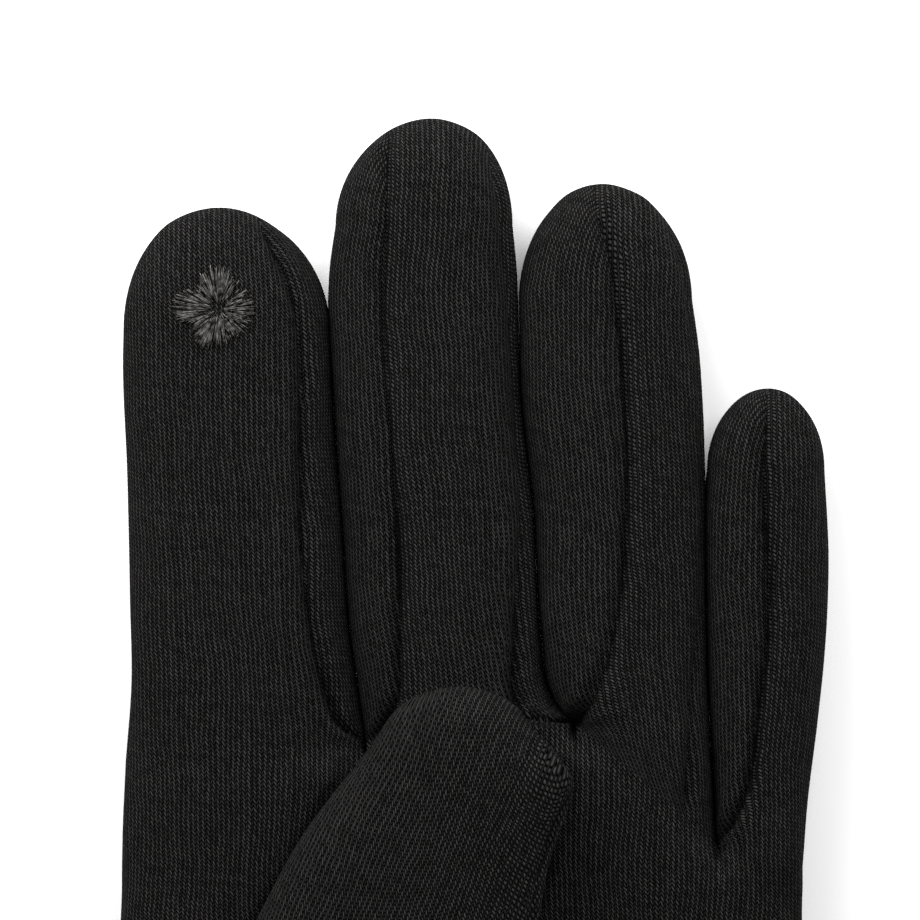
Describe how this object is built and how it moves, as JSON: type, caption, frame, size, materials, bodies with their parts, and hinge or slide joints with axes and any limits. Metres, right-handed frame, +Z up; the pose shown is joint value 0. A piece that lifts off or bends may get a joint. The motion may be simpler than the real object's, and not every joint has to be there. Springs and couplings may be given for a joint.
{
  "type": "glove",
  "caption": "Lined jersey glove for the left hand, with bending fingers, a swinging thumb and an embroidered touch pad on the index fingertip.",
  "frame": {"origin": "under the middle of the glove, on the surface that it lies on", "axes": "+Z up out of the palm, +Y from the cuff towards the fingertips, +X towards the little finger"},
  "size_m": [0.101, 0.24, 0.0334],
  "materials": {
    "jersey": "fine black jersey knit, matt, slightly fuzzy",
    "jersey_side_strips": "fine black jersey knit, matt, slightly fuzzy",
    "fleece_lining": "brushed dark fleece",
    "pad_thread": "satin-stitched grey conductive thread",
    "wrist_elastic": "woven black elastic",
    "label_tape": "blank woven satin tape"
  },
  "bodies": {
    "hand": {"palm_panel": "jersey", "back_panel": "jersey", "fork_index_middle": "jersey_side_strips", "fork_middle_ring": "jersey_side_strips", "fork_ring_little": "jersey_side_strips", "cuff_hem": "jersey", "wrist_elastic": "wrist_elastic", "size_label": "label_tape", "lining_hand": "fleece_lining"},
    "index_base": {"index_back_lower": "jersey", "index_fourchette_outer_side_lower": "jersey_side_strips", "index_palm_lower": "jersey", "lining_index_lower": "fleece_lining"},
    "index_tip": {"index_back_upper": "jersey", "index_fourchette_outer_side_upper": "jersey_side_strips", "index_palm_upper": "jersey", "lining_index_upper": "fleece_lining", "touch_pad": "pad_thread"},
    "middle_base": {"lining_middle_lower": "fleece_lining", "middle_back_lower": "jersey", "middle_fourchette_outer_side_lower": "jersey_side_strips", "middle_fourchette_thumb_side_lower": "jersey_side_strips", "middle_palm_lower": "jersey"},
    "middle_tip": {"lining_middle_upper": "fleece_lining", "middle_back_upper": "jersey", "middle_fourchette_outer_side_upper": "jersey_side_strips", "middle_fourchette_thumb_side_upper": "jersey_side_strips", "middle_palm_upper": "jersey"},
    "ring_base": {"lining_ring_lower": "fleece_lining", "ring_back_lower": "jersey", "ring_fourchette_outer_side_lower": "jersey_side_strips", "ring_fourchette_thumb_side_lower": "jersey_side_strips", "ring_palm_lower": "jersey"},
    "ring_tip": {"lining_ring_upper": "fleece_lining", "ring_back_upper": "jersey", "ring_fourchette_outer_side_upper": "jersey_side_strips", "ring_fourchette_thumb_side_upper": "jersey_side_strips", "ring_palm_upper": "jersey"},
    "little_base": {"lining_little_lower": "fleece_lining", "little_back_lower": "jersey", "little_fourchette_thumb_side_lower": "jersey_side_strips", "little_palm_lower": "jersey"},
    "little_tip": {"lining_little_upper": "fleece_lining", "little_back_upper": "jersey", "little_fourchette_thumb_side_upper": "jersey_side_strips", "little_palm_upper": "jersey"},
    "thumb_base": {"thumb_outer_panel_lower": "jersey", "thumb_inner_panel_lower": "jersey", "lining_thumb_lower": "fleece_lining"},
    "thumb_tip": {"thumb_outer_panel_upper": "jersey", "thumb_inner_panel_upper": "jersey", "lining_thumb_upper": "fleece_lining"}
  },
  "joints": [
    {"name": "index_root_bend", "type": "hinge", "parent": "hand", "child": "index_base", "pos_m": [-0.033, 0.04, 0.0125], "axis": [0.9995, 0.0314, 0], "range_deg": [0, 75]},
    {"name": "index_middle_bend", "type": "hinge", "parent": "index_base", "child": "index_tip", "pos_m": [-0.03382, 0.06599, 0.0125], "axis": [0.9995, 0.0314, 0], "range_deg": [0, 85]},
    {"name": "middle_root_bend", "type": "hinge", "parent": "hand", "child": "middle_base", "pos_m": [-0.006, 0.042, 0.0125], "axis": [0.9995, 0.0314, 0], "range_deg": [0, 75]},
    {"name": "middle_middle_bend", "type": "hinge", "parent": "middle_base", "child": "middle_tip", "pos_m": [-0.00694, 0.07198, 0.0125], "axis": [0.9995, 0.0314, 0], "range_deg": [0, 85]},
    {"name": "ring_root_bend", "type": "hinge", "parent": "hand", "child": "ring_base", "pos_m": [0.0194, 0.042, 0.0125], "axis": [0.9995, 0.0314, 0], "range_deg": [0, 75]},
    {"name": "ring_middle_bend", "type": "hinge", "parent": "ring_base", "child": "ring_tip", "pos_m": [0.01858, 0.06799, 0.0125], "axis": [0.9995, 0.0314, 0], "range_deg": [0, 85]},
    {"name": "little_root_bend", "type": "hinge", "parent": "hand", "child": "little_base", "pos_m": [0.0413, 0.027, 0.0125], "axis": [0.9995, 0.0314, 0], "range_deg": [0, 75]},
    {"name": "little_middle_bend", "type": "hinge", "parent": "little_base", "child": "little_tip", "pos_m": [0.04061, 0.04899, 0.0125], "axis": [0.9995, 0.0314, 0], "range_deg": [0, 85]},
    {"name": "thumb_swing", "type": "hinge", "parent": "hand", "child": "thumb_base", "pos_m": [-0.027, -0.03, 0.0184], "axis": [0, 0, 1], "range_deg": [0, 75]},
    {"name": "thumb_middle_bend", "type": "hinge", "parent": "thumb_base", "child": "thumb_tip", "pos_m": [0.00206, 0.00304, 0.0259], "axis": [0, 0, -1], "range_deg": [0, 60]}
  ]
}
